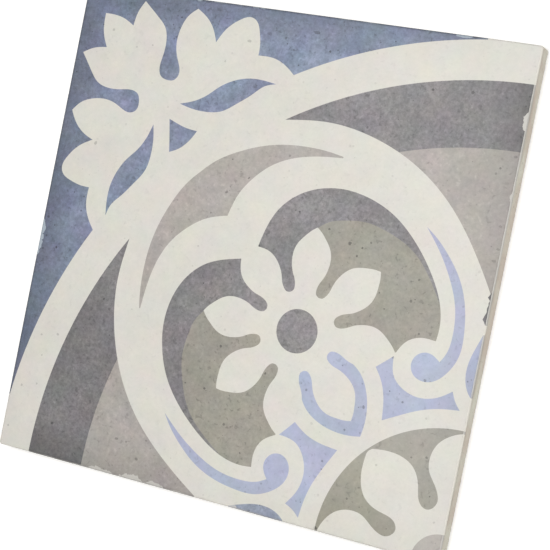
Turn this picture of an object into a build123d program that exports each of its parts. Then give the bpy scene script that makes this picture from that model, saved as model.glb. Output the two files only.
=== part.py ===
"""Square pressed ceramic tile with an eased face edge and a keyed back, in millimetres.

The tile lies flat with its glazed face up. The origin is at the centre of the bedding plane, +Z points out of the
glazed face, and +X and +Y run along two edges of the square.
"""
import os

from build123d import *

# Outside of the tile
SIDE = 200.0
THICKNESS = 8.5
PLAN_CORNER_RADIUS = 1.2

# Edges: a rounded arris round the glazed face, and the bevel that the die leaves round the back
ARRIS_RADIUS = 0.6
BACK_BEVEL = 0.6

# Keyed back: a plain rim, and inside it shallow square pockets with ribs between them, which the adhesive fills
RIM_WIDTH = 11.0
RIB_WIDTH = 4.0
POCKETS_PER_SIDE = 6
POCKET_DEPTH = 0.8
POCKET_CORNER_RADIUS = 2.0
POCKET_DRAFT = 35.0

# The pockets share out what the rim and the ribs leave
keyed_width = SIDE - 2 * RIM_WIDTH
pocket_width = (keyed_width - (POCKETS_PER_SIDE - 1) * RIB_WIDTH) / POCKETS_PER_SIDE
pocket_pitch = pocket_width + RIB_WIDTH

with BuildPart() as tile:
    # Pressed blank
    with BuildSketch() as plan:
        RectangleRounded(SIDE, SIDE, PLAN_CORNER_RADIUS)
    extrude(amount=THICKNESS)

    # Eased edges of the face and of the back
    fillet(tile.faces().sort_by(Axis.Z)[-1].edges(), ARRIS_RADIUS)
    chamfer(tile.faces().sort_by(Axis.Z)[0].edges(), BACK_BEVEL)

    # Keying pockets pressed into the back, with drafted walls so that the punch lifts out
    with BuildSketch() as pockets:
        with GridLocations(pocket_pitch, pocket_pitch, POCKETS_PER_SIDE, POCKETS_PER_SIDE):
            RectangleRounded(pocket_width, pocket_width, POCKET_CORNER_RADIUS)
    extrude(amount=POCKET_DEPTH, taper=POCKET_DRAFT, mode=Mode.SUBTRACT)

tile.part.label = "tile"
os.makedirs("parts", exist_ok=True)
export_step(tile.part, "parts/tile.step")
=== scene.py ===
"""Blender scene for the patterned ceramic tile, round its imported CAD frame.

The tile is one closed mesh in the CAD frame. Its face is cut along the edges of the print, so each field of
colour has real edges. The worn chips and the specks in the glaze are cut into the same faces. The arris, the
sides, the bevel and the keyed back follow the CAD sizes. Sizes are in millimetres here, and turn to metres
where a mesh is made.
"""
import logging
import math
from dataclasses import dataclass, field
from enum import Enum
from typing import Any, NamedTuple, Optional, Sequence

import bmesh
import bpy
import numpy as np
from bmesh.types import BMesh, BMFace, BMLoop, BMVert
from bpy.types import Material, Mesh, Node, NodeSocket, NodeTree, Object
from mathutils import Matrix, Vector, noise
from mathutils.geometry import delaunay_2d_cdt

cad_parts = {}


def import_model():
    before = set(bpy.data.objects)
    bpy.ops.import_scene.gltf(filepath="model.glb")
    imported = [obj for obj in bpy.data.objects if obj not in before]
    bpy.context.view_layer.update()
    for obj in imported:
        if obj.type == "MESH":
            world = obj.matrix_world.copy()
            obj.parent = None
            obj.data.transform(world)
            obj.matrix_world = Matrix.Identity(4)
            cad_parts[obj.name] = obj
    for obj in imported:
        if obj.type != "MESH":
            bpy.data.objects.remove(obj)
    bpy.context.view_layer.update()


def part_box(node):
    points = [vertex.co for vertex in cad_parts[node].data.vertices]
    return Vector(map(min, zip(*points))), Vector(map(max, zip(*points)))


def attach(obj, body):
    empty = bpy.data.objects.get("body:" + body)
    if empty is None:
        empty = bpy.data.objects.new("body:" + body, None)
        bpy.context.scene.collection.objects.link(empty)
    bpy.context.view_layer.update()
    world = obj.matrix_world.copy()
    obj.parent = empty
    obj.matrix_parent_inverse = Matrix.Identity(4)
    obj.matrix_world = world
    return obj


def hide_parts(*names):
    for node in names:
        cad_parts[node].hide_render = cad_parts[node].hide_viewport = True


Point = tuple[float, float]
Range = tuple[float, float]
Outline = list[Point]

LOG = logging.getLogger("tile")
MM = 0.001
SQUARE_CM_PER_SQUARE_M = 1e4
BODY = "root"
NODE = "tile"
PIECE = "glazed_tile"

# Face values that the glazes read, and the map that they are baked on. The speck value also carries painted
# shade and soil down the arris
WEAR = "wear"
SPECK_AND_SHADE = "speck"
BAKE_MAP = "OFBake"

# Rough distance between the points of a curve, and of a small one, and the fewest points of a circle
STEP = 0.7
SMALL_STEP = 0.5
FEWEST_POINTS = 24

# How close points are joined: in millimetres where outlines are cut, and in metres where the mesh is closed
CUT_JOIN = 1e-4
MESH_JOIN = 2e-6


class Glaze(Enum):
    """The colours of the face, in the order of the tile's material slots."""

    CREAM = 0
    BLUE = 1
    DARK = 2
    GREIGE = 3
    SAGE = 4
    PERIWINKLE = 5
    SLATE = 6
    OLIVE = 7
    PEARL = 8


class Edge(Enum):
    """The four edges of the tile, each with its outward direction."""

    RIGHT = (1, 0)
    TOP = (0, 1)
    LEFT = (-1, 0)
    BOTTOM = (0, -1)


class Field(NamedTuple):
    """One field of the print: its glaze, its outline, and the field that limits it, if any."""

    name: str
    glaze: Glaze
    outline: Outline
    within: Optional[str] = None


class Mark(NamedTuple):
    """One worn chip or speck: its outline and how strongly it shows."""

    outline: Outline
    strength: float


# Drawing


def smooth(points: Sequence[Point], step: float = STEP) -> Outline:
    """Draw a natural cubic curve through a few points.

    Args:
        points: The points the curve passes through.
        step: Rough distance between the points of the result.

    Returns:
        Points along the curve, both ends included.
    """
    knots = np.array(points, float)
    spans = np.hypot(*np.diff(knots, axis=0).T)
    count = len(knots)
    matrix = np.eye(count)
    right = np.zeros((count, 2))
    for i in range(1, count - 1):
        matrix[i, i - 1:i + 2] = spans[i - 1], 2 * (spans[i - 1] + spans[i]), spans[i]
        right[i] = 6 * ((knots[i + 1] - knots[i]) / spans[i] - (knots[i] - knots[i - 1]) / spans[i - 1])
    bends = np.linalg.solve(matrix, right)
    drawn: Outline = []
    for i, span in enumerate(spans):
        pieces = max(1, round(span / step))
        for done in np.arange(pieces) / pieces * span:
            left = span - done
            point = (bends[i] * left ** 3 + bends[i + 1] * done ** 3) / (6 * span)
            point = point + (knots[i] / span - bends[i] * span / 6) * left
            point = point + (knots[i + 1] / span - bends[i + 1] * span / 6) * done
            drawn.append((float(point[0]), float(point[1])))
    drawn.append((float(knots[-1][0]), float(knots[-1][1])))
    return drawn


def strokes(*runs: Sequence[Point]) -> Outline:
    """Join strokes end to end: two points give a line, more give a curve, with corners where strokes meet.

    Args:
        runs: The strokes, each starting where the last one ended.

    Returns:
        The joined points, without the last one where the strokes close.
    """
    drawn: Outline = []
    for run in runs:
        piece = smooth(run) if len(run) > 2 else [tuple(map(float, p)) for p in run]
        drawn += piece if not drawn else piece[1:]
    return drawn[:-1] if drawn[0] == drawn[-1] else drawn


def disc(centre: Point, radius: float, step: float = STEP) -> Outline:
    """Draw a circle.

    Args:
        centre: Its centre.
        radius: Its radius.
        step: Rough distance between the points of the result.

    Returns:
        Points round the circle, counter-clockwise.
    """
    count = max(FEWEST_POINTS, round(2 * math.pi * radius / step))
    turns = [2 * math.pi * k / count for k in range(count)]
    return [(centre[0] + radius * math.cos(a), centre[1] + radius * math.sin(a)) for a in turns]


def rounded_square(half: float, radius: float, step: float, turns: int) -> Outline:
    """Draw a square with rounded corners.

    Args:
        half: Half its width.
        radius: The radius of its corners.
        step: Rough distance between points along the straight edges.
        turns: How many pieces each corner has.

    Returns:
        Points round the square, counter-clockwise.
    """
    flat = half - radius
    pieces = max(1, round(2 * flat / step))
    drawn: Outline = []
    for quarter in range(4):
        c, s = round(math.cos(quarter * math.pi / 2)), round(math.sin(quarter * math.pi / 2))
        edge = [(half, -flat + 2 * flat * k / pieces) for k in range(pieces)]
        bend = [math.pi / 2 * k / turns for k in range(turns)]
        edge += [(flat + radius * math.cos(a), flat + radius * math.sin(a)) for a in bend]
        drawn += [(x * c - y * s, x * s + y * c) for x, y in edge]
    return drawn


class Cut(NamedTuple):
    """A plane cut along outlines: its points, its triangles, and the outlines that cover each triangle."""

    points: list[Vector]
    triangles: list[list[int]]
    covers: list[list[int]]


def cut(outlines: Sequence[Outline]) -> Cut:
    """Cut the plane along outlines.

    Args:
        outlines: Closed outlines, which may cross.

    Returns:
        The triangles between the outlines.
    """
    points: list[Vector] = []
    faces: list[list[int]] = []
    for outline in outlines:
        rows = np.array(outline)
        turned = np.roll(rows, -1, axis=0)
        area = np.sum(rows[:, 0] * turned[:, 1] - rows[:, 1] * turned[:, 0])
        faces.append(list(range(len(points), len(points) + len(outline))))
        points += [Vector(p) for p in (outline if area > 0 else outline[::-1])]
    found = delaunay_2d_cdt(points, [], faces, 1, CUT_JOIN, True)
    return Cut(found[0], found[2], found[5])


# The print


@dataclass
class FloralPrint:
    """The printed quarter of a rosette, with its centre at one corner of the tile."""

    corner: Point
    heart: Point = (24.7, -25.2)
    register: float = -0.5
    ring_radius: float = 200.6
    band_radius: float = 184.9
    spandrel_radius: float = 158.9
    rosette_radius: float = 51.6
    star_eye_radius: float = 11.5
    eye_radius: float = 8.8
    petals: int = 8
    lens_slip: Point = (-0.6, 0.4)

    def mirrored(self, points: Sequence[Point]) -> Outline:
        """Mirror points across the print's diagonal, which lies a little off the tile's."""
        return [(self.register - y, self.register - x) for x, y in points]

    def across(self, half: Outline) -> Outline:
        """Close a half outline that starts and ends on the diagonal with its mirror image."""
        return list(half) + self.mirrored(half)[::-1][1:-1]

    def pair(self, name: str, glaze: Glaze, outline: Outline, within: str = "") -> list[Field]:
        """Make a field and its mirror image.

        Args:
            name: The field's name.
            glaze: Its colour.
            outline: Its outline above the diagonal.
            within: The field that limits it, if any.

        Returns:
            The two fields.
        """
        other = self.mirrored(outline)
        return [Field(name, glaze, outline, within or None),
                Field(name + " across", glaze, other, within + " across" if within else None)]

    def fields(self) -> list[Field]:
        """List the fields in the order they are laid over each other, on a blue ground."""
        lower = self.rings() + self.medallion() + self.lobes()
        return lower + self.flower() + self.commas() + self.rosette()

    def rings(self) -> list[Field]:
        """Draw the palmette in the far corner and the rings round the rosette.

        Returns:
            The fields, from the lowest up.
        """
        palmette = self.across(strokes(
            ((-37.25, 36.75), (1.7, 74.7)),
            ((1.7, 74.7), (-2.4, 77.8), (-8.4, 80.3), (-15.5, 80.5)),
            ((-15.5, 80.5), (-15.7, 85), (-16.9, 89.8), (-19.4, 94.4), (-21.6, 95.4), (-26.8, 93.7),
             (-32.2, 89), (-35.5, 83.3)),
            ((-35.5, 83.3), (-37.5, 87.9), (-41.6, 92.8), (-46.5, 95.9)),
            ((-46.5, 95.9), (-50.2, 92.6), (-52.6, 87.5), (-53.4, 81.6), (-52.3, 76), (-50.3, 71.8),
             (-49.5, 68.4), (-51, 65.5), (-54.4, 64.9), (-57.8, 66.3), (-59, 70), (-58.5, 74.5),
             (-58.2, 80), (-60, 86.3), (-64, 90.2), (-71.5, 96.1)),
            ((-71.5, 96.1), (-74, 91.3), (-75.1, 85.2)),
            ((-75.1, 85.2), (-79.3, 87.4), (-84.2, 88.6), (-89.3, 88.8))))
        leaf = strokes(
            ((-46.3, 56.1), (-40, 58.2), (-34, 61.9), (-30.4, 65.1), (-25.5, 68.2), (-17.6, 70.7),
             (-12, 70.9), (-5.2, 70.1)),
            ((-5.2, 70.1), (-10, 68.6), (-14.8, 64.5), (-20.8, 59.8), (-26.4, 56), (-34.4, 54.5),
             (-41.5, 55), (-46.3, 56.1)))
        wedge = strokes(
            ((-49.7, 49.2), (-45.6, 47.8), (-41.6, 46.7), (-36.1, 46.1)),
            ((-36.1, 46.1), (-38, 42.8), (-40, 40.2), (-43, 37.6), (-46.9, 35.7)),
            ((-46.9, 35.7), (-48.4, 43.2), (-49.7, 49.2)))
        return [Field("ring", Glaze.CREAM, disc(self.corner, self.ring_radius)),
                Field("palmette", Glaze.CREAM, palmette),
                *self.pair("leaf", Glaze.BLUE, leaf),
                Field("wedge", Glaze.BLUE, wedge),
                Field("band", Glaze.DARK, disc(self.corner, self.band_radius)),
                Field("spandrel", Glaze.GREIGE, disc(self.corner, self.spandrel_radius))]

    def medallion(self) -> list[Field]:
        """Draw the pale medallion and the crescent along its rim.

        Returns:
            The fields, from the lowest up.
        """
        pale = self.across(strokes(
            ((-37.75, 37.25), (-20, 51.4), (2.1, 56.7), (20, 58.4), (40, 55.5), (60, 47.3), (75, 36.2),
             (90, 18.4), (99, 4.4), (103, -2.5)),
            ((103, -2.5), (124.75, -125.25))))
        outer = ((-30.7, 30.2), (-25, 35.4), (-20, 38.6), (-15, 41.1), (0, 46.1), (15, 47.4),
                 (25, 46.7), (29.6, 45.9))
        inner = ((29.5, 45.4), (20, 44.5), (10, 42.4), (0, 37.7), (-7.6, 30.6), (-12, 24), (-15.0, 14.5))
        rim = self.mirrored(outer)[::-1] + list(outer[1:])
        back = self.mirrored(inner)[::-1]
        crescent = strokes(rim, (rim[-1], inner[0]), inner, back, (back[-1], rim[0]))
        return [Field("medallion", Glaze.CREAM, pale), Field("crescent", Glaze.GREIGE, crescent)]

    def lobes(self) -> list[Field]:
        """Draw the dark lobes, the sage leaves inside them and the drop between them.

        Returns:
            The fields, from the lowest up.
        """
        lobe = strokes(
            ((1, 4.8), (2.5, 11.2), (6.1, 20), (15, 28.7), (25, 32.6), (32.4, 33.4), (45, 31.4),
             (55, 27), (65, 19), (75, 6.8), (80.4, -3.6), (82, -13), (81.6, -17.4)),
            ((81.6, -17.4), (75.6, -17.3), (70, -20), (66.8, -24.9)),
            ((66.8, -24.9), self.heart), (self.heart, (1, 4.8)))
        sage = strokes(
            ((24.9, 16.6), (28.5, 19.3), (36, 21.5), (45, 22.2), (52, 20.7), (60, 17.8), (66.4, 14.0),
             (73, 7.2), (78.5, -0.5), (83, -8)),
            ((83, -8), (88, -24.9)), ((88, -24.9), self.heart), (self.heart, (24.9, 16.6)))
        drop = self.across(strokes(
            ((59.35, -59.85), (60.05, -54.8), (60, -50.5), (59.3, -46), (57.2, -40.2), (53.6, -35.2),
             (50, -32.6)),
            ((50, -32.6), (42, -27)), ((42, -27), self.heart)))
        return [*self.pair("lobe", Glaze.DARK, lobe), *self.pair("sage", Glaze.SAGE, sage, "lobe"),
                Field("drop", Glaze.PERIWINKLE, drop)]

    def flower(self) -> list[Field]:
        """Draw the pale flower, its petals parted by round-ended slots, and its dark eye.

        Returns:
            The fields, from the lowest up.
        """
        half = smooth(((0, 41.9), (2.0, 40.4), (4.3, 38.0), (6.5, 35.2), (7.8, 32.4), (8.2, 29.3),
                       (7.8, 25.9), (6.8, 22.8), (5.4, 20.1), (4.75, 17.8), (5.0, 15.7),
                       (6.11, 14.75)), SMALL_STEP)
        petal = [(-u, v) for u, v in half[::-1]][:-1] + half[:-1]
        flower: Outline = []
        for k in range(self.petals):
            c, s = math.cos(2 * math.pi * k / self.petals), math.sin(2 * math.pi * k / self.petals)
            flower += [(self.heart[0] + v * c - u * s, self.heart[1] + v * s + u * c) for u, v in petal]
        return [Field("flower", Glaze.CREAM, flower),
                Field("eye", Glaze.DARK, disc(self.heart, self.eye_radius, SMALL_STEP))]

    def commas(self) -> list[Field]:
        """Draw the commas and kites beside the rosette, and the lenses that the tile's edge cuts off.

        Returns:
            The fields, from the lowest up.
        """
        comma = strokes(
            ((69.1, 24.9), (73.2, 22), (80, 15.5), (86, 7.6), (90, -1.6), (92, -12.8), (91.9, -20.5),
             (88.4, -28.4), (83.6, -32.7), (79.4, -33.5), (75.4, -31.8), (73.7, -28), (75.2, -24.2),
             (79.3, -22.4), (82.6, -23.4), (84.7, -24.9)),
            ((84.7, -24.9), (86.5, -21.6), (87.7, -14), (86.5, -3.6), (82, 7.2), (76, 16.6),
             (69.1, 24.9)))
        kite = strokes(
            ((66.3, -26.4), (63.6, -28.8), (59.9, -32)),
            ((59.9, -32), (63.4, -37.2), (65.6, -43.6), (66.6, -51.7)),
            ((66.6, -51.7), (73.2, -48.2), (82, -44.1), (90, -42), (96.3, -41.2)),
            ((96.3, -41.2), (94.2, -38.8), (92.1, -34.7)),
            ((92.1, -34.7), (87.2, -38), (79.6, -39.9), (72, -37.8), (68, -34.2), (66.3, -26.4)))
        lens = strokes(
            ((102, -3.5), (98.2, -14.8), (96.1, -22), (95.7, -26), (96.6, -31.3), (98, -34), (102, -38)),
            ((102, -38), (102, -3.5)))
        slipped = [(x + self.lens_slip[0], y + self.lens_slip[1]) for x, y in self.mirrored(lens)]
        sliver = [(101, 6.5), (99.1, 4.6), (98.6, 3.5), (98.2, 2.9), (98.8, 2.4), (99.3, 1.8),
                  (98.9, 0.9), (99.1, 0.1), (98.7, -1.2), (98.9, -2.6), (98.4, -4.0), (97.9, -5.6),
                  (98.6, -6.4), (99.3, -7.6), (101, -8)]
        return [*self.pair("comma", Glaze.PERIWINKLE, comma), *self.pair("kite", Glaze.PERIWINKLE, kite),
                Field("lens", Glaze.PERIWINKLE, lens), Field("lens across", Glaze.SLATE, slipped),
                Field("sliver", Glaze.DARK, sliver)]

    def rosette(self) -> list[Field]:
        """Draw the quarter rosette at the corner, its pale star and the star's eye.

        Returns:
            The fields, from the lowest up.
        """
        half = strokes(
            ((125, -125), (103, -49)),
            ((103, -49), (99.6, -49.5), (95, -51.4), (90.4, -55.6), (88.5, -61.5), (89.3, -66.4),
             (91.6, -69.8), (94.3, -74.2), (94.8, -76.8), (93.8, -79.2), (91.4, -80.7), (88.7, -79.7),
             (87, -76.8), (86.1, -72.8), (84.4, -68.5), (82, -65.7), (78, -63.6), (72, -62.65),
             (66.8, -63.0), (64.9, -63.45), (64.05, -64.05)))
        star = half + [(-y, -x) for x, y in half[::-1][1:-1]]
        return [Field("rosette", Glaze.OLIVE, disc(self.corner, self.rosette_radius)),
                Field("star", Glaze.CREAM, star),
                Field("star eye", Glaze.PEARL, disc(self.corner, self.star_eye_radius, SMALL_STEP))]


class Chip(NamedTuple):
    """A worn stretch of an edge, from start to end along it, with its depth in from the edge."""

    edge: Edge
    start: float
    end: float
    depth: float
    strength: float


@dataclass
class EdgeWear:
    """Stretches along the tile's edges where the print has worn or not taken."""

    half: float
    step: float = 0.45
    fewest_steps: int = 4
    overhang: float = 1.5
    least_depth: float = 0.05
    # How a patch swells from its ends, and how much of its depth is even, rough and ragged
    swell: float = 0.45
    even_share: float = 0.72
    rough_share: float = 0.42
    ragged_share: float = 0.34
    # Waves of the frayed edge for each millimetre along it, and for each millimetre of a patch's depth, so
    # that no two patches fray alike
    rough_waves: float = 0.45
    ragged_waves: float = 1.9
    rough_spread: float = 7.0
    ragged_spread: float = 3.0
    ragged_seed: float = 5.0
    chips: tuple[Chip, ...] = (
        Chip(Edge.LEFT, -17.5, -1.0, 2.6, 0.85),
        Chip(Edge.RIGHT, 66.8, 74.6, 2.5, 0.9),
        Chip(Edge.RIGHT, 75.0, 83.0, 0.9, 0.6),
        Chip(Edge.RIGHT, 38.5, 44.5, 1.5, 0.7),
        Chip(Edge.TOP, 64.5, 72.5, 1.4, 0.7),
        Chip(Edge.TOP, -48.5, -44.5, 1.1, 0.6),
        Chip(Edge.TOP, -25.0, -15.0, 0.9, 0.4),
        Chip(Edge.BOTTOM, -41.0, -29.0, 3.2, 0.75),
        Chip(Edge.BOTTOM, -28.0, -19.0, 2.3, 0.7),
        Chip(Edge.BOTTOM, -56.0, -43.0, 2.1, 0.7),
        Chip(Edge.BOTTOM, -18.0, -7.0, 0.9, 0.6),
        Chip(Edge.BOTTOM, 8.5, 14.5, 1.8, 0.7),
    )

    def marks(self) -> list[Mark]:
        """Draw each chip as a frayed patch that reaches over the edge.

        Returns:
            The patches.
        """
        marks = []
        for chip in self.chips:
            length = chip.end - chip.start
            count = max(self.fewest_steps, round(length / self.step))
            fray: list[Point] = []
            for k in range(count + 1):
                along = chip.start + length * k / count
                swell = max(math.sin(math.pi * k / count), 0.0) ** self.swell
                rough = noise.noise(Vector((
                    along * self.rough_waves, chip.depth * self.rough_spread, 0.0)))
                ragged = noise.noise(Vector((
                    along * self.ragged_waves, chip.depth * self.ragged_spread, self.ragged_seed)))
                share = self.even_share + self.rough_share * rough + self.ragged_share * ragged
                fray.append((along, self.half - max(chip.depth * swell * share, self.least_depth)))
            fray += [(chip.end, self.half + self.overhang), (chip.start, self.half + self.overhang)]
            marks.append(Mark([self.turn(chip.edge, p) for p in fray], chip.strength))
        return marks

    @staticmethod
    def turn(edge: Edge, point: Point) -> Point:
        """Take a point from an edge's own directions to the face's.

        Args:
            edge: The edge.
            point: How far the point is along the edge, and how far out from the tile's centre.

        Returns:
            The point on the face.
        """
        along, out = point
        nx, ny = edge.value
        return (nx * out, along) if nx else (along, ny * out)


# Nodes


def linear(code: str) -> tuple[float, float, float, float]:
    """Turn an sRGB hex colour to linear light.

    Args:
        code: The colour as #RRGGBB.

    Returns:
        Linear red, green, blue and alpha.
    """
    parts = [int(code[k:k + 2], 16) / 255 for k in (1, 3, 5)]
    red, green, blue = (v / 12.92 if v <= 0.04045 else ((v + 0.055) / 1.055) ** 2.4 for v in parts)
    return red, green, blue, 1.0


def per_mm(size: float) -> float:
    """Turn the size of a pattern in millimetres to a texture scale on coordinates in metres."""
    return 1.0 / (size * MM)


def add(tree: NodeTree, kind: str, inputs: Optional[dict[Any, Any]] = None, **settings: Any) -> Node:
    """Add a node with its settings, its constants and its links.

    Args:
        tree: The tree to add to.
        kind: The node's type.
        inputs: What goes into its sockets, by name or number. A socket makes a link, and anything else is a
            constant.
        settings: Properties of the node.

    Returns:
        The new node.
    """
    node = tree.nodes.new(kind)
    for name, value in settings.items():
        setattr(node, name, value)
    for name, value in (inputs or {}).items():
        if isinstance(value, NodeSocket):
            tree.links.new(value, node.inputs[name])
        else:
            node.inputs[name].default_value = value
    return node


def fresh_material(name: str) -> tuple[Material, NodeTree]:
    """Make an empty node material.

    Args:
        name: Its name.

    Returns:
        The material and its node tree.
    """
    material = bpy.data.materials.new(name)
    material.use_nodes = True
    material.node_tree.nodes.clear()
    return material, material.node_tree


def new_geometry_tree(name: str, sockets: dict[str, str]) -> NodeTree:
    """Make a geometry node tree with a geometry input and output and named inputs.

    Args:
        name: The tree's name.
        sockets: The type of each named input.

    Returns:
        The tree, still without nodes.
    """
    tree = bpy.data.node_groups.new(name, "GeometryNodeTree")
    tree.interface.new_socket("Geometry", in_out="OUTPUT", socket_type="NodeSocketGeometry")
    tree.interface.new_socket("Geometry", in_out="INPUT", socket_type="NodeSocketGeometry")
    for label, kind in sockets.items():
        tree.interface.new_socket(label, in_out="INPUT", socket_type=kind)
    return tree


def run_tree(carrier: Object, tree: NodeTree, values: dict[str, Any]) -> Mesh:
    """Run a geometry node tree on a carrier and keep the result as a plain mesh.

    Args:
        carrier: The object whose mesh goes into the tree. It is removed afterwards.
        tree: The tree.
        values: The value of each named input.

    Returns:
        The resulting mesh.
    """
    modifier = carrier.modifiers.new(tree.name, "NODES")
    modifier.node_group = tree
    for item in tree.interface.items_tree:
        if item.in_out == "INPUT" and item.name in values:
            modifier[item.identifier] = values[item.name]
    graph = bpy.context.evaluated_depsgraph_get()
    mesh = bpy.data.meshes.new_from_object(carrier.evaluated_get(graph))
    carrier.modifiers.remove(modifier)
    bpy.data.objects.remove(carrier)
    return mesh


def link_mesh(name: str, mesh: Mesh) -> Object:
    """Put a mesh in the scene as an object at the origin.

    Args:
        name: The object's name.
        mesh: The mesh.

    Returns:
        The object.
    """
    obj = bpy.data.objects.new(name, mesh)
    bpy.context.scene.collection.objects.link(obj)
    return obj


def square_sheet(name: str, half: float, level: float) -> Object:
    """Put a plain square in the scene.

    Args:
        name: The object's name.
        half: Half the square's width.
        level: The square's height.

    Returns:
        The object.
    """
    reach = half * MM
    mesh = bpy.data.meshes.new(name)
    corners = ((-reach, -reach), (reach, -reach), (reach, reach), (-reach, reach))
    mesh.from_pydata([(x, y, level * MM) for x, y in corners], [], [(0, 1, 2, 3)])
    return link_mesh(name, mesh)


def add_seen(tree: NodeTree) -> NodeSocket:
    """Add nodes that tell the rays that show the background from the rays that light the tile.

    Args:
        tree: The tree to add to.

    Returns:
        A socket that is 1 for what the camera sees, straight on or in a reflection, and else 0.
    """
    path = add(tree, "ShaderNodeLightPath").outputs
    seen = path["Is Camera Ray"]
    for other in ("Is Glossy Ray", "Is Transmission Ray"):
        seen = add(tree, "ShaderNodeMath", {0: seen, 1: path[other]}, operation="MAXIMUM").outputs[0]
    return seen


# Finishes


class Pattern(NamedTuple):
    """A noise pattern: its size in millimetres, and how detailed, rough and distorted it is."""

    size: float
    detail: float
    roughness: float = 0.5
    distortion: float = 0.0


class Ramp(NamedTuple):
    """Where a value starts and stops to count, and what it gives at the two ends."""

    low: float
    high: float
    start: float = 0.0
    end: float = 1.0


# Patterns in the glaze. Real grain and grit are finer: these are as coarse as they need to be to show when
# the whole tile is in view
GLAZE_PATTERNS: dict[str, Pattern] = {
    "cloud": Pattern(30.0, 3.0),
    "mottle": Pattern(5.5, 4.0, roughness=0.62),
    "grain": Pattern(1.5, 3.0, roughness=0.7),
    "grit": Pattern(1.9, 1.0, distortion=0.6),
    "drift": Pattern(11.0, 3.0),
    "tooth": Pattern(0.9, 3.0),
}

# Patterns in the clay, with its grains and grit coarsened in the same way
CLAY_PATTERNS: dict[str, Pattern] = {
    "body": Pattern(13.0, 5.0, roughness=0.6),
    "stain": Pattern(22.0, 4.0),
    "grains": Pattern(0.7, 2.0),
    "grit": Pattern(1.3, 1.0),
}


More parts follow.
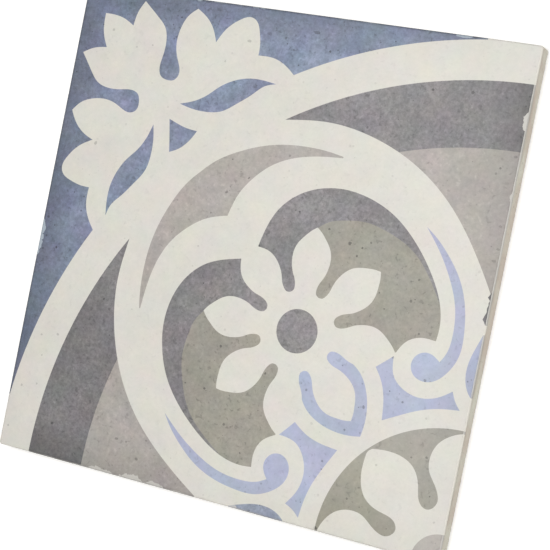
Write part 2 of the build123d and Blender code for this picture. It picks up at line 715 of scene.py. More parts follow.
@dataclass(frozen=True)
class MattGlaze:
    """A colour printed in a matt glaze and fired: soft clouds and mottling, fine grain and a low sheen.

    The eye sees an even but never flat field: clouds a few centimetres wide, mottling at a few millimetres,
    dark grit, more grime near the tile's edges and bare glaze where the print has worn.
    """

    name: str
    colour: str
    # How strongly each pattern shows: tint is the drift in hue, and the darkening to the left is painted
    # shade
    cloud: float
    mottle: float
    grain: float
    grit: float
    fleck: float
    tint: float
    grime: float
    ink: float = 0.0
    speck: float = 1.0
    # The glaze where the print has worn, and the colour past the diagonal where that differs
    bare: str = "#C9C6BF"
    turned: str = ""
    # The sheen and how far it varies, the fine tooth of the surface, and how dark the darkest speck and the
    # painted shade at the foot of the arris are
    roughness: float = 0.5
    satin: float = 0.06
    ior: float = 1.5
    tooth_strength: float = 0.25
    tooth_depth: float = 0.05
    speck_depth: float = 0.85
    # The values of the noise between which each pattern swings
    middle: Range = (0.33, 0.67)
    dark_grit: Range = (0.64, 0.74)
    pale_grit: Range = (0.26, 0.36)
    # Where the painted shade on the left deepens, the colour turns and grime gathers, in millimetres from
    # the tile's centre
    left_shade_span: Range = (-100.0, 5.0)
    turning: Range = (-16.0, -2.0)
    grimy: Range = (84.0, 100.0)
    soiled_edge: Range = (98.8, 99.5)

    def build(self) -> Material:
        """Make the material.

        Returns:
            The material.
        """
        material, tree = fresh_material(self.name)
        place = add(tree, "ShaderNodeTexCoord").outputs["Object"]
        noises = {}
        for label, one in GLAZE_PATTERNS.items():
            noises[label] = add(tree, "ShaderNodeTexNoise", {
                "Vector": place, "Scale": per_mm(one.size), "Detail": one.detail, "Roughness": one.roughness,
                "Distortion": one.distortion}).outputs
        colour = self.add_colour(tree, place, noises["drift"]["Color"])
        shade = self.add_shade(tree, place, {label: sockets["Fac"] for label, sockets in noises.items()})
        printed = add(tree, "ShaderNodeVectorMath", {0: colour, "Scale": shade},
                      operation="SCALE").outputs[0]
        bump = add(tree, "ShaderNodeBump", {
            "Strength": self.tooth_strength, "Distance": self.tooth_depth * MM,
            "Height": noises["tooth"]["Fac"]}).outputs[0]
        satin = add(tree, "ShaderNodeMapRange", {
            "Value": noises["mottle"]["Fac"], "To Min": self.roughness - self.satin,
            "To Max": self.roughness + self.satin}).outputs[0]
        shader = add(tree, "ShaderNodeBsdfPrincipled", {
            "Base Color": self.add_wear(tree, printed), "Roughness": satin, "Normal": bump, "IOR": self.ior})
        add(tree, "ShaderNodeOutputMaterial", {"Surface": shader.outputs[0]})
        return material

    def add_colour(self, tree: NodeTree, place: NodeSocket, drift: NodeSocket) -> NodeSocket:
        """Add the printed colour, which drifts a little in hue.

        Args:
            tree: The material's nodes.
            place: The place on the tile.
            drift: Noise in three channels.

        Returns:
            The colour before it is shaded.
        """
        spread = 2 * self.tint
        hue = add(tree, "ShaderNodeVectorMath", {0: drift, 1: (spread,) * 3, 2: (1 - spread / 2,) * 3},
                  operation="MULTIPLY_ADD").outputs[0]
        base: Any = linear(self.colour)[:3]
        if self.turned:
            off_diagonal = add(tree, "ShaderNodeVectorMath", {0: place, 1: (1.0, 1.0, 0.0)},
                               operation="DOT_PRODUCT").outputs["Value"]
            turn = add(tree, "ShaderNodeMapRange", {
                "Value": off_diagonal, "From Min": self.turning[0] * MM,
                "From Max": self.turning[1] * MM}).outputs[0]
            base = add(tree, "ShaderNodeMix", {0: turn, 6: linear(self.colour), 7: linear(self.turned)},
                       data_type="RGBA").outputs[2]
        return add(tree, "ShaderNodeVectorMath", {0: hue, 1: base}, operation="MULTIPLY").outputs[0]

    def add_shade(self, tree: NodeTree, place: NodeSocket, noises: dict[str, NodeSocket]) -> NodeSocket:
        """Add the lights and darks of the print, from clouds down to grit, the grime near the edges, and the
        painted shade towards the left.

        Args:
            tree: The material's nodes.
            place: The place on the tile.
            noises: The noise of each pattern.

        Returns:
            What the colour is multiplied by.
        """
        sideways = add(tree, "ShaderNodeSeparateXYZ", {0: place}).outputs["X"]
        across = add(tree, "ShaderNodeVectorMath", {0: place}, operation="ABSOLUTE").outputs[0]
        parts = add(tree, "ShaderNodeSeparateXYZ", {0: across}).outputs
        reach = add(tree, "ShaderNodeMath", {0: parts["X"], 1: parts["Y"]}, operation="MAXIMUM").outputs[0]
        rim = add(tree, "ShaderNodeMapRange", {
            "Value": reach, "From Min": self.grimy[0] * MM, "From Max": self.grimy[1] * MM}).outputs[0]
        patchy = add(tree, "ShaderNodeMath", {0: rim, 1: noises["mottle"]}, operation="MULTIPLY").outputs[0]
        shade = add(tree, "ShaderNodeMath", {0: patchy, 1: -2 * self.grime, 2: 1.0},
                    operation="MULTIPLY_ADD").outputs[0]
        for value, unit, (low, high), start, end in (
                (noises["cloud"], 1, self.middle, 1 - self.cloud, 1 + self.cloud),
                (noises["mottle"], 1, self.middle, 1 - self.mottle, 1 + self.mottle),
                (noises["grain"], 1, self.middle, 1 - self.grain, 1 + self.grain),
                (noises["grit"], 1, self.dark_grit, 1.0, 1 - self.grit),
                (noises["grit"], 1, self.pale_grit, 1 + self.fleck, 1.0),
                # Painted shade: the print is darker towards the left, away from the light and sheen on the
                # right
                (sideways, MM, self.left_shade_span, 1 - self.ink, 1.0),
                (reach, MM, self.soiled_edge, 1.0, 1 - self.grime)):
            swing = add(tree, "ShaderNodeMapRange", {
                "Value": value, "From Min": low * unit, "From Max": high * unit, "To Min": start,
                "To Max": end}).outputs[0]
            shade = add(tree, "ShaderNodeMath", {0: shade, 1: swing}, operation="MULTIPLY").outputs[0]
        return shade

    def add_wear(self, tree: NodeTree, printed: NodeSocket) -> NodeSocket:
        """Add the bare glaze where the print has worn, and the dark specks, which on the arris also carry
        painted shade and soil.

        Args:
            tree: The material's nodes.
            printed: The colour of the unworn print.

        Returns:
            The colour that shows.
        """
        worn = add(tree, "ShaderNodeAttribute", attribute_name=WEAR).outputs["Fac"]
        rubbed = add(tree, "ShaderNodeMix", {0: worn, 6: printed, 7: linear(self.bare)},
                     data_type="RGBA").outputs[2]
        speck = add(tree, "ShaderNodeAttribute", attribute_name=SPECK_AND_SHADE).outputs["Fac"]
        spot = add(tree, "ShaderNodeMath", {0: speck, 1: -self.speck_depth * self.speck, 2: 1.0},
                   operation="MULTIPLY_ADD").outputs[0]
        return add(tree, "ShaderNodeVectorMath", {0: rubbed, "Scale": spot}, operation="SCALE").outputs[0]


@dataclass(frozen=True)
class PressedClay:
    """The fired clay body, bare on the sides and the back: warm grey, granular and dead matt.

    The eye sees dark grit in a pale, patchy clay, soil in the seam under the glaze, and a chalky wash on the
    ribs that stood on the kiln's rollers.
    """

    name: str = "pressed_clay_body"
    colour: str = "#C6BBAE"
    pale: str = "#CFCDBF"
    grit: str = "#8F877A"
    soil: str = "#7E7868"
    wash: str = "#DAD7D0"
    roughness: float = 0.9
    ior: float = 1.5
    tooth_strength: float = 0.5
    tooth_depth: float = 0.12
    # Where each colour shows: the first three by noise, and the last two by height above the bedding plane
    paling: Ramp = Ramp(0.4, 0.6)
    dots: Ramp = Ramp(0.66, 0.76, end=0.55)
    staining: Ramp = Ramp(0.38, 0.62, 0.08, 0.6)
    standing: Ramp = Ramp(0.05 * MM, 0.3 * MM, 1.0, 0.0)
    seam: Ramp = Ramp(5.4 * MM, 7.6 * MM)

    def build(self) -> Material:
        """Make the material.

        Returns:
            The material.
        """
        material, tree = fresh_material(self.name)
        place = add(tree, "ShaderNodeTexCoord").outputs["Object"]
        level = add(tree, "ShaderNodeSeparateXYZ", {0: place}).outputs["Z"]
        noises = {}
        for label, one in CLAY_PATTERNS.items():
            noises[label] = add(tree, "ShaderNodeTexNoise", {
                "Vector": place, "Scale": per_mm(one.size), "Detail": one.detail, "Roughness": one.roughness,
                "Distortion": one.distortion}).outputs["Fac"]
        shares = []
        for value, ramp in ((noises["body"], self.paling), (noises["grit"], self.dots),
                            (noises["stain"], self.staining), (level, self.standing), (level, self.seam)):
            shares.append(add(tree, "ShaderNodeMapRange", {
                "Value": value, "From Min": ramp.low, "From Max": ramp.high, "To Min": ramp.start,
                "To Max": ramp.end}).outputs[0])
        pale, dots, stain, standing, seam = shares
        dusty = add(tree, "ShaderNodeMath", {0: standing, 1: pale}, operation="MULTIPLY").outputs[0]
        dirty = add(tree, "ShaderNodeMath", {0: seam, 1: stain}, operation="MULTIPLY").outputs[0]
        colour: Any = linear(self.colour)
        for share, code in ((pale, self.pale), (dots, self.grit), (dusty, self.wash), (dirty, self.soil)):
            colour = add(tree, "ShaderNodeMix", {0: share, 6: colour, 7: linear(code)},
                         data_type="RGBA").outputs[2]
        bump = add(tree, "ShaderNodeBump", {
            "Strength": self.tooth_strength, "Distance": self.tooth_depth * MM,
            "Height": noises["grains"]}).outputs[0]
        shader = add(tree, "ShaderNodeBsdfPrincipled", {
            "Base Color": colour, "Roughness": self.roughness, "Normal": bump, "IOR": self.ior})
        add(tree, "ShaderNodeOutputMaterial", {"Surface": shader.outputs[0]})
        return material


@dataclass(frozen=True)
class WhitePaper:
    """White backdrop paper, matt, with a faint tooth of fibres.

    The eye sees plain white with the tile's soft shadow on it. The camera sees the paper a little lighter
    than its light makes it, and pure white away from the tile.
    """

    name: str = "white_paper"
    colour: str = "#F2F1EF"
    fibre: Pattern = Pattern(3.0, 3.0)
    tooth_strength: float = 0.1
    tooth_depth: float = 0.1
    lift: float = 0.3
    fade_from: float = 170.0
    fade_to: float = 420.0

    def build(self) -> Material:
        """Make the material.

        Returns:
            The material.
        """
        material, tree = fresh_material(self.name)
        place = add(tree, "ShaderNodeTexCoord").outputs["Object"]
        fibre = add(tree, "ShaderNodeTexNoise", {
            "Vector": place, "Scale": per_mm(self.fibre.size), "Detail": self.fibre.detail}).outputs["Fac"]
        bump = add(tree, "ShaderNodeBump", {
            "Strength": self.tooth_strength, "Distance": self.tooth_depth * MM, "Height": fibre}).outputs[0]
        matt = add(tree, "ShaderNodeBsdfDiffuse", {"Color": linear(self.colour), "Normal": bump}).outputs[0]
        seen = add_seen(tree)
        lift = add(tree, "ShaderNodeMath", {0: seen, 1: self.lift}, operation="MULTIPLY").outputs[0]
        glow = add(tree, "ShaderNodeEmission", {"Strength": lift}).outputs[0]
        near = add(tree, "ShaderNodeAddShader", {0: matt, 1: glow}).outputs[0]
        away = add(tree, "ShaderNodeVectorMath", {0: place}, operation="LENGTH").outputs["Value"]
        fade = add(tree, "ShaderNodeMapRange", {
            "Value": away, "From Min": self.fade_from * MM, "From Max": self.fade_to * MM}).outputs[0]
        far = add(tree, "ShaderNodeMath", {0: seen, 1: fade}, operation="MULTIPLY").outputs[0]
        white = add(tree, "ShaderNodeEmission", {"Strength": 1.0}).outputs[0]
        shown = add(tree, "ShaderNodeMixShader", {0: far, 1: near, 2: white}).outputs[0]
        add(tree, "ShaderNodeOutputMaterial", {"Surface": shown})
        return material


GLAZES: dict[Glaze, MattGlaze] = {
    Glaze.CREAM: MattGlaze(
        "cream_matt_glaze", "#D6D3CA", cloud=0.014, mottle=0.02, grain=0.024, grit=0.055, fleck=0.018,
        tint=0.06, grime=0.03, speck=0.2, bare="#DAD6CB"),
    Glaze.BLUE: MattGlaze(
        "blue_printed_glaze", "#808AA1", cloud=0.14, mottle=0.19, grain=0.19, grit=0.32, fleck=0.2,
        tint=0.15, grime=0.34, ink=0.26, bare="#A9B4BE"),
    Glaze.DARK: MattGlaze(
        "charcoal_printed_glaze", "#7D7A7B", cloud=0.13, mottle=0.12, grain=0.25, grit=0.34, fleck=0.26,
        tint=0.1, grime=0.46, ink=0.3),
    Glaze.GREIGE: MattGlaze(
        "greige_printed_glaze", "#A6A09A", cloud=0.08, mottle=0.09, grain=0.09, grit=0.2, fleck=0.15,
        tint=0.07, grime=0.22, speck=0.7),
    Glaze.SAGE: MattGlaze(
        "sage_printed_glaze", "#938F84", cloud=0.08, mottle=0.08, grain=0.11, grit=0.3, fleck=0.1,
        tint=0.07, grime=0.08),
    Glaze.PERIWINKLE: MattGlaze(
        "periwinkle_printed_glaze", "#A7ADC3", cloud=0.07, mottle=0.05, grain=0.05, grit=0.16, fleck=0.04,
        tint=0.1, grime=0.12),
    Glaze.SLATE: MattGlaze(
        "slate_printed_glaze", "#949BAE", cloud=0.1, mottle=0.14, grain=0.18, grit=0.32, fleck=0.14,
        tint=0.12, grime=0.12),
    Glaze.OLIVE: MattGlaze(
        "olive_printed_glaze", "#949183", cloud=0.1, mottle=0.06, grain=0.07, grit=0.22, fleck=0.1,
        tint=0.06, grime=0.1, turned="#99968C"),
    Glaze.PEARL: MattGlaze(
        "pearl_printed_glaze", "#B3ADA6", cloud=0.05, mottle=0.05, grain=0.06, grit=0.15, fleck=0.08,
        tint=0.06, grime=0.1),
}


# Pieces


class Speck(NamedTuple):
    """One larger speck: its place, its radius, how strongly it shows and how far it is stretched across."""

    x: float
    y: float
    radius: float
    strength: float
    stretch: float = 1.0


@dataclass
class SpeckScatter:
    """Specks of grit in the glaze, scattered by Geometry Nodes, with the larger ones listed one by one."""

    half: float
    margin: float = 1.0
    per_square_cm: float = 2.0
    smallest: float = 0.14
    largest: float = 0.6
    # How steeply the sizes of small specks fall off, how far they are squashed and how strongly they show
    steepness: float = 3.0
    squash: Range = (0.6, 1.3)
    strength: Range = (0.2, 0.85)
    sides: int = 7
    # How ragged the placed specks are
    ragged: Range = (0.75, 1.2)
    placed_sides: int = 9
    seed: int = 11
    squash_seed: int = 5
    turn_seed: int = 9
    placed: tuple[Speck, ...] = (
        Speck(39.4, 13.0, 0.8, 0.7), Speck(29.7, 17.0, 0.55, 0.7), Speck(48.0, 14.8, 0.5, 0.6),
        Speck(-10.0, -56.0, 0.55, 0.7), Speck(-6.5, -37.8, 0.6, 0.7), Speck(1.5, -68.2, 0.6, 0.6),
        Speck(68.6, -4.3, 0.6, 0.6), Speck(74.4, -16.0, 0.5, 0.6), Speck(58.3, -48.3, 0.7, 0.55, 0.8),
        Speck(33.5, -47.0, 0.5, 0.5), Speck(80.5, -33.0, 0.6, 0.5), Speck(-34.0, -91.0, 0.7, 0.65),
        Speck(-45.0, -85.0, 0.6, 0.65, 1.6), Speck(-40.2, -85.2, 0.45, 0.6), Speck(-31.2, -82.7, 0.5, 0.55),
        Speck(7.9, 93.0, 0.7, 0.5, 2.6), Speck(-5.0, 89.0, 0.6, 0.5), Speck(76.4, 78.6, 0.7, 0.65),
        Speck(-60.0, -33.3, 0.6, 0.5), Speck(6.9, 42.7, 0.5, 0.5), Speck(-84.0, 82.3, 0.6, 1.4),
        Speck(-64.2, 78.3, 0.45, 1.5), Speck(-71.5, 76.6, 0.5, 1.1), Speck(-82.0, 34.0, 0.75, 1.8),
        Speck(-82.0, -48.5, 0.6, 1.6), Speck(-94.5, -73.2, 0.55, 1.5), Speck(-20.7, 85.8, 0.6, 1.6, 1.5),
        Speck(-29.7, 76.2, 0.5, 1.2), Speck(-51.5, 54.0, 0.5, 0.8), Speck(48.5, -98.9, 0.9, 0.8),
        Speck(87.2, -61.5, 0.5, 0.55), Speck(81.2, -62.8, 0.45, 0.5), Speck(46.0, -72.7, 0.55, 0.5),
        Speck(98.0, 57.0, 0.5, 0.5, 1.8), Speck(98.4, 21.5, 0.45, 0.5, 2.0),
        Speck(97.7, 16.8, 0.5, 0.5, 2.0),
        Speck(97.4, 30.2, 0.55, 0.45), Speck(98.5, 64.5, 0.5, 0.6), Speck(97.9, 76.4, 0.45, 0.6),
        Speck(98.7, 80.2, 0.4, 0.6), Speck(-97.6, -0.6, 0.6, 0.6), Speck(-96.9, -8.5, 0.45, 0.6),
        Speck(-97.4, -14.2, 0.5, 0.6), Speck(52.5, -58.7, 0.45, 0.5), Speck(59.0, -84.5, 0.5, 0.55),
        Speck(-89.7, -50.2, 0.5, 1.5), Speck(-87.7, -58.7, 0.45, 1.3), Speck(-87.4, -71.0, 0.5, 1.4),
        Speck(-97.2, -91.3, 0.5, 1.4), Speck(-25.3, 0.0, 0.45, 1.2), Speck(68.0, -69.0, 0.5, 1.2),
        Speck(95.1, -84.8, 0.45, 1.2), Speck(83.9, -47.0, 0.5, 1.0),
    )

    def tree(self) -> NodeTree:
        """Make the tree that strews small discs of uneven size over a face.

        Returns:
            The tree.
        """
        tree = new_geometry_tree("speck scatter", {
            "Density": "NodeSocketFloat", "Smallest": "NodeSocketFloat", "Largest": "NodeSocketFloat",
            "Sides": "NodeSocketInt", "Seed": "NodeSocketInt", "Material": "NodeSocketMaterial"})
        given = add(tree, "NodeGroupInput").outputs
        spots = add(tree, "GeometryNodeDistributePointsOnFaces", {
            "Mesh": given["Geometry"], "Density": given["Density"], "Seed": given["Seed"]}).outputs["Points"]
        round_speck = add(tree, "GeometryNodeMeshCircle", {"Vertices": given["Sides"], "Radius": 1.0},
                          fill_type="NGON").outputs["Mesh"]
        draw = add(tree, "FunctionNodeRandomValue", {"Seed": given["Seed"]},
                   data_type="FLOAT").outputs["Value"]
        chance = add(tree, "ShaderNodeMath", {0: draw, 1: self.steepness}, operation="POWER").outputs[0]
        size = add(tree, "ShaderNodeMapRange", {
            "Value": chance, "To Min": given["Smallest"], "To Max": given["Largest"]}).outputs[0]
        squash = add(tree, "FunctionNodeRandomValue", {
            2: self.squash[0], 3: self.squash[1], "Seed": self.squash_seed},
                     data_type="FLOAT").outputs["Value"]
        wide = add(tree, "ShaderNodeMath", {0: size, 1: squash}, operation="MULTIPLY").outputs[0]
        scale = add(tree, "ShaderNodeCombineXYZ", {0: wide, 1: size, 2: 1.0}).outputs[0]
        turn = add(tree, "FunctionNodeRandomValue", {2: 0.0, 3: 2 * math.pi, "Seed": self.turn_seed},
                   data_type="FLOAT").outputs["Value"]
        spin = add(tree, "ShaderNodeCombineXYZ", {2: turn}).outputs[0]
        strewn = add(tree, "GeometryNodeInstanceOnPoints", {
            "Points": spots, "Instance": round_speck, "Rotation": spin, "Scale": scale}).outputs[0]
        real = add(tree, "GeometryNodeRealizeInstances", {"Geometry": strewn}).outputs[0]
        done = add(tree, "GeometryNodeSetMaterial", {
            "Geometry": real, "Material": given["Material"]}).outputs[0]
        add(tree, "NodeGroupOutput", {"Geometry": done})
        return tree

    def marks(self) -> list[Mark]:
        """Scatter the specks.

        Returns:
            The outline and strength of each speck.
        """
        sheet = square_sheet("speck sheet", self.half - self.margin, 0.0)
        mesh = run_tree(sheet, self.tree(), {
            "Density": self.per_square_cm * SQUARE_CM_PER_SQUARE_M, "Smallest": self.smallest * MM,
            "Largest": self.largest * MM, "Sides": self.sides, "Seed": self.seed})
        draw = np.random.default_rng(self.seed)
        marks = []
        for polygon in mesh.polygons:
            ring = [mesh.vertices[k].co / MM for k in polygon.vertices]
            marks.append(Mark([(v.x, v.y) for v in ring], float(draw.uniform(*self.strength))))
        for one in self.placed:
            drawn: Outline = []
            for k in range(self.placed_sides):
                angle = 2 * math.pi * k / self.placed_sides
                radius = one.radius * float(draw.uniform(*self.ragged))
                x, y = radius * math.cos(angle), radius * math.sin(angle)
                drawn.append((one.x + one.stretch * x, one.y + y))
            marks.append(Mark(drawn, one.strength))
        LOG.info("specks: %d", len(marks))
        return marks


@dataclass
class KeyedBack:
    """The back's keying: shallow drafted pockets in a square grid, with ribs between them."""

    side: float
    pockets_per_side: int = 6
    rim: float = 11.0
    rib: float = 4.0
    depth: float = 0.8
    corner_radius: float = 2.0
    draft: float = 35.0
    corner_turns: int = 4

    @property
    def width(self) -> float:
        """Width of one pocket at its mouth."""
        count = self.pockets_per_side
        return (self.side - 2 * self.rim - (count - 1) * self.rib) / count

    @property
    def pitch(self) -> float:
        """Distance from one pocket to the next."""
        return self.width + self.rib

    def mouth(self, inset: float = 0.0) -> Outline:
        """Draw a pocket's outline, set in by its draft where asked."""
        half = self.width / 2 - inset
        return rounded_square(half, self.corner_radius - inset, self.width, self.corner_turns)

    def mouths(self) -> list[Outline]:
        """Draw the mouths of all the pockets on the bedding plane.

        Returns:
            Their outlines.
        """
        first = -self.pitch * (self.pockets_per_side - 1) / 2
        places = [first + self.pitch * k for k in range(self.pockets_per_side)]
        return [[(x + cx, y + cy) for x, y in self.mouth()] for cx in places for cy in places]

    def tree(self) -> NodeTree:
        """Make the tree that sets one tray at each point of a square grid.

        Returns:
            The tree.
        """
        tree = new_geometry_tree("pocket grid", {
            "Pockets per side": "NodeSocketInt", "Span": "NodeSocketFloat",
            "Material": "NodeSocketMaterial"})
        given = add(tree, "NodeGroupInput").outputs
        grid = add(tree, "GeometryNodeMeshGrid", {
            "Size X": given["Span"], "Size Y": given["Span"], "Vertices X": given["Pockets per side"],
            "Vertices Y": given["Pockets per side"]}).outputs["Mesh"]
        trays = add(tree, "GeometryNodeInstanceOnPoints", {
            "Points": grid, "Instance": given["Geometry"]}).outputs[0]
        real = add(tree, "GeometryNodeRealizeInstances", {"Geometry": trays}).outputs[0]
        done = add(tree, "GeometryNodeSetMaterial", {
            "Geometry": real, "Material": given["Material"]}).outputs[0]
        add(tree, "NodeGroupOutput", {"Geometry": done})
        return tree

    def build(self, clay: Material) -> Mesh:
        """Make the walls and floors of all the pockets, which open downwards.

        Args:
            clay: The material of the back.

        Returns:
            The pockets as one plain mesh.
        """
        slope = self.depth * math.tan(math.radians(self.draft))
        mouth, floor = self.mouth(), self.mouth(slope)
        count = len(mouth)
        points = [(x * MM, y * MM, 0.0) for x, y in mouth]
        points += [(x * MM, y * MM, self.depth * MM) for x, y in floor]
        walls = [(k, count + k, count + (k + 1) % count, (k + 1) % count) for k in range(count)]
        tray = bpy.data.meshes.new("pocket")
        tray.from_pydata(points, [], walls + [tuple(range(2 * count - 1, count - 1, -1))])
        mesh = run_tree(link_mesh("pocket", tray), self.tree(), {
            "Pockets per side": self.pockets_per_side, "Span": self.pitch * (self.pockets_per_side - 1) * MM,
            "Material": clay})
        LOG.info("keyed back: %d pockets", self.pockets_per_side ** 2)
        return mesh


class Strip(NamedTuple):
    """One ring of the tile's side: how far out and how high it is, and its place down the profile."""

    out: float
    height: float
    run: float


class MapPlace(NamedTuple):
    """Where a flat part lies on the bake map: map units for each millimetre, and the place of its centre."""

    scale: float
    across: float
    up: float


# The bake map: the face fills most of it, the sides lie in rows below, and the back is small, to the right
FACE_MAP = MapPlace(0.004, 0.41, 0.59)
BACK_MAP = MapPlace(0.0008, 0.91, 0.89)
SIDE_ROW = 0.012
SIDE_PITCH = 0.043


@dataclass
class Tile:
    """The fired tile: printed face, rounded arris, clay sides, bevel and keyed back."""

    side: float
    thickness: float
    plan_radius: float = 1.2
    plan_turns: int = 4
    arris: float = 0.6
    arris_steps: int = 5
    bevel: float = 0.6
    edge_step: float = 1.0
    # How far and in what waves the arris and the sides are nibbled
    nibble: float = 0.05
    nibble_waves: float = 0.7
    nibble_drift: float = 0.6
    # How the print is rubbed off the arris: a share for each edge, and uneven waves along it
    worn_arris: dict[Edge, float] = field(default_factory=lambda: {
        Edge.RIGHT: 1.0, Edge.BOTTOM: 0.35, Edge.LEFT: -0.1, Edge.TOP: 0.0})
    rub_waves: float = 0.12
    rub_swing: float = 0.8
    rub_most: float = 0.9
    rub_seed: float = 3.0
    # Painted shade with soil: the arris is darkened more, ring by ring, as it turns down from the face
    arris_shade_and_soil: float = 0.42
    pattern: FloralPrint = field(init=False)
    wear: EdgeWear = field(init=False)
    specks: SpeckScatter = field(init=False)
    back: KeyedBack = field(init=False)

    def __post_init__(self) -> None:
        """Size the print, the wear, the specks and the back to the tile."""
        half = self.side / 2
        self.pattern = FloralPrint((half, -half))
        self.wear = EdgeWear(half)
        self.specks = SpeckScatter(half)
        self.back = KeyedBack(self.side)

    def build(self) -> Object:
        """Make the tile as one closed mesh with its materials.

        Returns:
            The tile.
        """
        clay = PressedClay().build()
        mesh = bpy.data.meshes.new(PIECE)
        for glaze in Glaze:
            mesh.materials.append(GLAZES[glaze].build())
        mesh.materials.append(clay)
        shape = bmesh.new()
        shape.faces.layers.float.new(WEAR)
        shape.faces.layers.float.new(SPECK_AND_SHADE)
        shape.loops.layers.uv.new(BAKE_MAP)
        self.build_face(shape)
        rim = self.build_sides(shape)
        self.build_back(shape, rim, self.back.build(clay))
        bmesh.ops.remove_doubles(shape, verts=shape.verts[:], dist=MESH_JOIN)
        bmesh.ops.dissolve_degenerate(shape, dist=MESH_JOIN, edges=shape.edges[:])
        open_edges = sum(1 for e in shape.edges if len(e.link_faces) != 2)
        shape.to_mesh(mesh)
        shape.free()
        LOG.info("tile: %d faces, %d open edges", len(mesh.polygons), open_edges)
        return link_mesh(PIECE, mesh)

    def build_face(self, shape: BMesh) -> None:
        """Cut the flat of the face along the print, the chips and the specks.

        Args:
            shape: The mesh under way.
        """
        fields = self.pattern.fields()
        chips = self.wear.marks()
        specks = self.specks.marks()
        flat = rounded_square(self.side / 2 - self.arris, self.plan_radius - self.arris, self.edge_step,
                              self.plan_turns)
        pieces = cut([flat, *(one.outline for one in (*fields, *chips, *specks))])
        number = {one.name: k for k, one in enumerate(fields, 1)}
        first_chip = 1 + len(fields)
        first_speck = first_chip + len(chips)
        wear = shape.faces.layers.float[WEAR]
        speck = shape.faces.layers.float[SPECK_AND_SHADE]
        corners: dict[int, BMVert] = {}
        for triangle, cover in zip(pieces.triangles, pieces.covers):
            if 0 not in cover:
                continue
            over = set(cover)
            glaze = Glaze.BLUE
            for k, one in enumerate(fields, 1):
                if k in over and (one.within is None or number[one.within] in over):
                    glaze = one.glaze
            for k in triangle:
                if k not in corners:
                    x, y = pieces.points[k]
                    corners[k] = shape.verts.new((x * MM, y * MM, self.thickness * MM))
            face = shape.faces.new([corners[k] for k in triangle])
            face.normal_update()
            if face.normal.z < 0:
                face.normal_flip()
            face.material_index = glaze.value
            worn = [chips[k - first_chip].strength for k in over if first_chip <= k < first_speck]
            spots = [specks[k - first_speck].strength for k in over if k >= first_speck]
            face[wear] = max(worn, default=0.0)
            face[speck] = max(spots, default=0.0)
        self.lay_out(shape, list(shape.faces), FACE_MAP)

    @staticmethod
    def lay_out(shape: BMesh, faces: Sequence[BMFace], spot: MapPlace) -> None:
        """Lay faces flat on the bake map, seen along Z.

        Args:
            shape: The mesh under way.
            faces: The faces.
            spot: Where they come on the map.
        """
        layer = shape.loops.layers.uv[BAKE_MAP]
        for face in faces:
            for corner in face.loops:
                x, y = corner.vert.co.x / MM, corner.vert.co.y / MM
                corner[layer].uv = (spot.across + x * spot.scale, spot.up + y * spot.scale)

    def outward(self, x: float, y: float) -> Point:
        """Find the direction out of the tile at a point on the edge of the flat face.

        Args:
            x: The point's place across.
            y: The point's place up.

        Returns:
            A unit direction.
        """
        centre = self.side / 2 - self.plan_radius
        dx, dy = max(abs(x) - centre, 0.0), max(abs(y) - centre, 0.0)
        size = math.hypot(dx, dy)
        return math.copysign(dx / size, x), math.copysign(dy / size, y)

    def profile(self) -> list[Strip]:
        """List the rings from the edge of the flat face down to the bedding plane.

        Returns:
            The rings.
        """
        rings = []
        for k in range(1, self.arris_steps + 1):
            angle = math.pi / 2 * k / self.arris_steps
            height = self.thickness - self.arris * (1 - math.cos(angle))
            rings.append(Strip(self.arris * math.sin(angle), height, self.arris * angle))
        run = rings[-1].run
        tall = self.thickness - self.arris - self.bevel
        rings.append(Strip(self.arris, self.bevel, run + tall))
        rings.append(Strip(self.arris - self.bevel, 0.0, run + tall + self.bevel * math.sqrt(2)))
        return rings

    @staticmethod
    def open_edge(shape: BMesh) -> list[BMLoop]:
        """Walk round the open edge of the face.

        Args:
            shape: The mesh under way.

        Returns:
            The face corners along the edge, in order, each at the start of its stretch.
        """
        stretches = [edge.link_loops[0] for edge in shape.edges if edge.is_boundary]
        starting = {corner.vert: corner for corner in stretches}
        walk = [stretches[0]]
        while walk[-1].link_loop_next.vert is not walk[0].vert:
            walk.append(starting[walk[-1].link_loop_next.vert])
        return walk

    def rubbed(self, edge: Edge, x: float, y: float) -> float:
        """Find how far the print is rubbed off the arris.

        Args:
            edge: The edge.
            x: The place across.
            y: The place up.

        Returns:
            The share of bare glaze.
        """
        uneven = noise.noise(Vector((x * self.rub_waves, y * self.rub_waves, self.rub_seed)))
        return min(max(self.worn_arris[edge] + self.rub_swing * uneven, 0.0), self.rub_most)

    def build_sides(self, shape: BMesh) -> list[BMVert]:
        """Carry the edge of the face over the arris and down the sides to the bevel.

        Args:
            shape: The mesh under way.

        Returns:
            The corners of the bedding plane's edge, in order.
        """
        walk = self.open_edge(shape)
        owners = [corner.face for corner in walk]
        flat = [(corner.vert.co.x / MM, corner.vert.co.y / MM) for corner in walk]
        outs = [self.outward(x, y) for x, y in flat]
        count = len(walk)
        wear = shape.faces.layers.float[WEAR]
        speck = shape.faces.layers.float[SPECK_AND_SHADE]
        layer = shape.loops.layers.uv[BAKE_MAP]
        above, above_run = [corner.vert for corner in walk], 0.0
        for level, strip in enumerate(self.profile()):
            below = []
            for (x, y), (nx, ny) in zip(flat, outs):
                waves = Vector((x * self.nibble_waves, y * self.nibble_waves, level * self.nibble_drift))
                nibble = self.nibble * max(noise.noise(waves), 0.0)
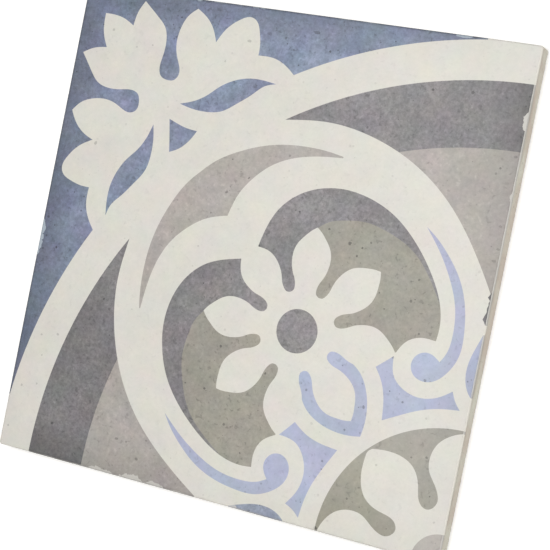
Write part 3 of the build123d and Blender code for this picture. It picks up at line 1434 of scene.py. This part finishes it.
                # Only the last ring stays true, because it is the edge of the bedding plane
                out = strip.out - (nibble if level < self.arris_steps + 1 else 0.0)
                below.append(shape.verts.new(((x + nx * out) * MM, (y + ny * out) * MM, strip.height * MM)))
            for k in range(count):
                n = (k + 1) % count
                face = shape.faces.new((above[k], below[k], below[n], above[n]))
                mx, my = outs[k][0] + outs[n][0], outs[k][1] + outs[n][1]
                edge = max(Edge, key=lambda e: e.value[0] * mx + e.value[1] * my)
                if level < self.arris_steps:
                    face.smooth = True
                    face.material_index = owners[k].material_index
                    face[wear] = max(self.rubbed(edge, *flat[k]), owners[k][wear])
                    # Painted shade with soil, darker on each ring further down the arris
                    face[speck] = self.arris_shade_and_soil * (level + 1) / self.arris_steps
                else:
                    face.material_index = len(Glaze)
                row = SIDE_ROW + SIDE_PITCH * list(Edge).index(edge)
                for corner in face.loops:
                    along = corner.vert.co.y if edge.value[0] else corner.vert.co.x
                    down = above_run if corner.vert in (above[k], above[n]) else strip.run
                    corner[layer].uv = (FACE_MAP.across + along / MM * FACE_MAP.scale,
                                        row + down * FACE_MAP.scale)
            above, above_run = below, strip.run
        return above

    def build_back(self, shape: BMesh, rim: list[BMVert], pockets: Mesh) -> None:
        """Close the bedding plane round the pockets and join the pockets on.

        Args:
            shape: The mesh under way.
            rim: The corners of the bedding plane's edge.
            pockets: The walls and floors of the pockets.
        """
        edge = [(v.co.x / MM, v.co.y / MM) for v in rim]
        pieces = cut([edge, *self.back.mouths()])
        done = len(shape.faces)
        corners = [shape.verts.new((p.x * MM, p.y * MM, 0.0)) for p in pieces.points]
        for triangle, cover in zip(pieces.triangles, pieces.covers):
            if list(cover) == [0]:
                face = shape.faces.new([corners[k] for k in triangle])
                face.normal_update()
                if face.normal.z > 0:
                    face.normal_flip()
        shape.from_mesh(pockets)
        shape.faces.ensure_lookup_table()
        plain = shape.faces[done:]
        for face in plain:
            face.material_index = len(Glaze)
        self.lay_out(shape, plain, BACK_MAP)

    def dress(self, piece: Object) -> None:
        """Hang the tile on the CAD body and hide the CAD node that it stands for.

        Args:
            piece: The tile.
        """
        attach(piece, BODY)
        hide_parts(NODE)


# Studio


class Lamp(NamedTuple):
    """A square soft light that faces the tile: its place and width in metres, and its power in watts."""

    name: str
    place: tuple[float, float, float]
    size: float
    power: float


@dataclass
class Studio:
    """A white paper floor, soft light from above and a camera that looks down on the tile."""

    floor_half: float = 1500.0
    floor_drop: float = 0.2
    paper: WhitePaper = WhitePaper()
    # Strength of the world where it lights the tile, and where the camera sees it
    room_light: float = 0.25
    backdrop: float = 1.0
    lamps: tuple[Lamp, ...] = (
        Lamp("soft box", (0.0, 0.05, 1.0), 0.5, 7.0),
        Lamp("side fill", (0.9, 0.05, 0.4), 0.5, 2.6),
    )
    # The camera's place in millimetres, and its turn about X, then Y, then Z in degrees
    camera_at: tuple[float, float, float] = (257.716, 6.812, 586.282)
    camera_turn: tuple[float, float, float] = (3.7456, 22.885, 12.3325)
    lens: float = 102.96
    sensor: float = 36.0

    def build(self) -> None:
        """Set up the floor, the world, the lamps and the camera."""
        self.build_floor()
        self.build_world()
        for lamp in self.lamps:
            self.add_lamp(lamp)
        self.build_camera()
        bpy.context.scene.view_settings.view_transform = "Standard"

    def build_floor(self) -> None:
        """Lay the paper floor, which the camera sees as white but for the tile's shadow."""
        floor = square_sheet("floor", self.floor_half, -self.floor_drop)
        floor.data.materials.append(self.paper.build())

    def build_world(self) -> None:
        """Fill the room with even light, and show white where the camera looks past the floor."""
        world = bpy.data.worlds.new("studio")
        world.use_nodes = True
        tree = world.node_tree
        tree.nodes.clear()
        strength = add(tree, "ShaderNodeMapRange", {
            "Value": add_seen(tree), "To Min": self.room_light, "To Max": self.backdrop}).outputs[0]
        light = add(tree, "ShaderNodeBackground", {"Color": linear("#FFFFFF"), "Strength": strength})
        add(tree, "ShaderNodeOutputWorld", {"Surface": light.outputs[0]})
        bpy.context.scene.world = world

    @staticmethod
    def add_lamp(lamp: Lamp) -> None:
        """Hang a lamp.

        Args:
            lamp: The lamp.
        """
        data = bpy.data.lights.new(lamp.name, "AREA")
        data.shape = "SQUARE"
        data.size = lamp.size
        data.energy = lamp.power
        hung = bpy.data.objects.new(lamp.name, data)
        aim = (-Vector(lamp.place)).to_track_quat("-Z", "Y")
        hung.matrix_world = Matrix.Translation(lamp.place) @ aim.to_matrix().to_4x4()
        bpy.context.scene.collection.objects.link(hung)

    def build_camera(self) -> None:
        """Stand the camera where the photograph was taken from."""
        data = bpy.data.cameras.new("camera")
        data.lens = self.lens
        data.sensor_width = self.sensor
        camera = bpy.data.objects.new("camera", data)
        camera.location = Vector(self.camera_at) * MM
        camera.rotation_euler = [math.radians(angle) for angle in self.camera_turn]
        bpy.context.scene.collection.objects.link(camera)
        bpy.context.scene.camera = camera


def main() -> None:
    """Build the tile and the studio round the CAD frame."""
    logging.basicConfig(level=logging.INFO, format="%(name)s: %(message)s")
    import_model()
    # The frame's numbers are rounded, because it keeps them as short floats
    low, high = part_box(NODE)
    tile = Tile(side=round((high.x - low.x) / MM, 3), thickness=round((high.z - low.z) / MM, 3))
    piece = tile.build()
    tile.dress(piece)
    LOG.info("piece %s rides on %s", piece.name, BODY)
    Studio().build()


if __name__ == "__main__":
    main()
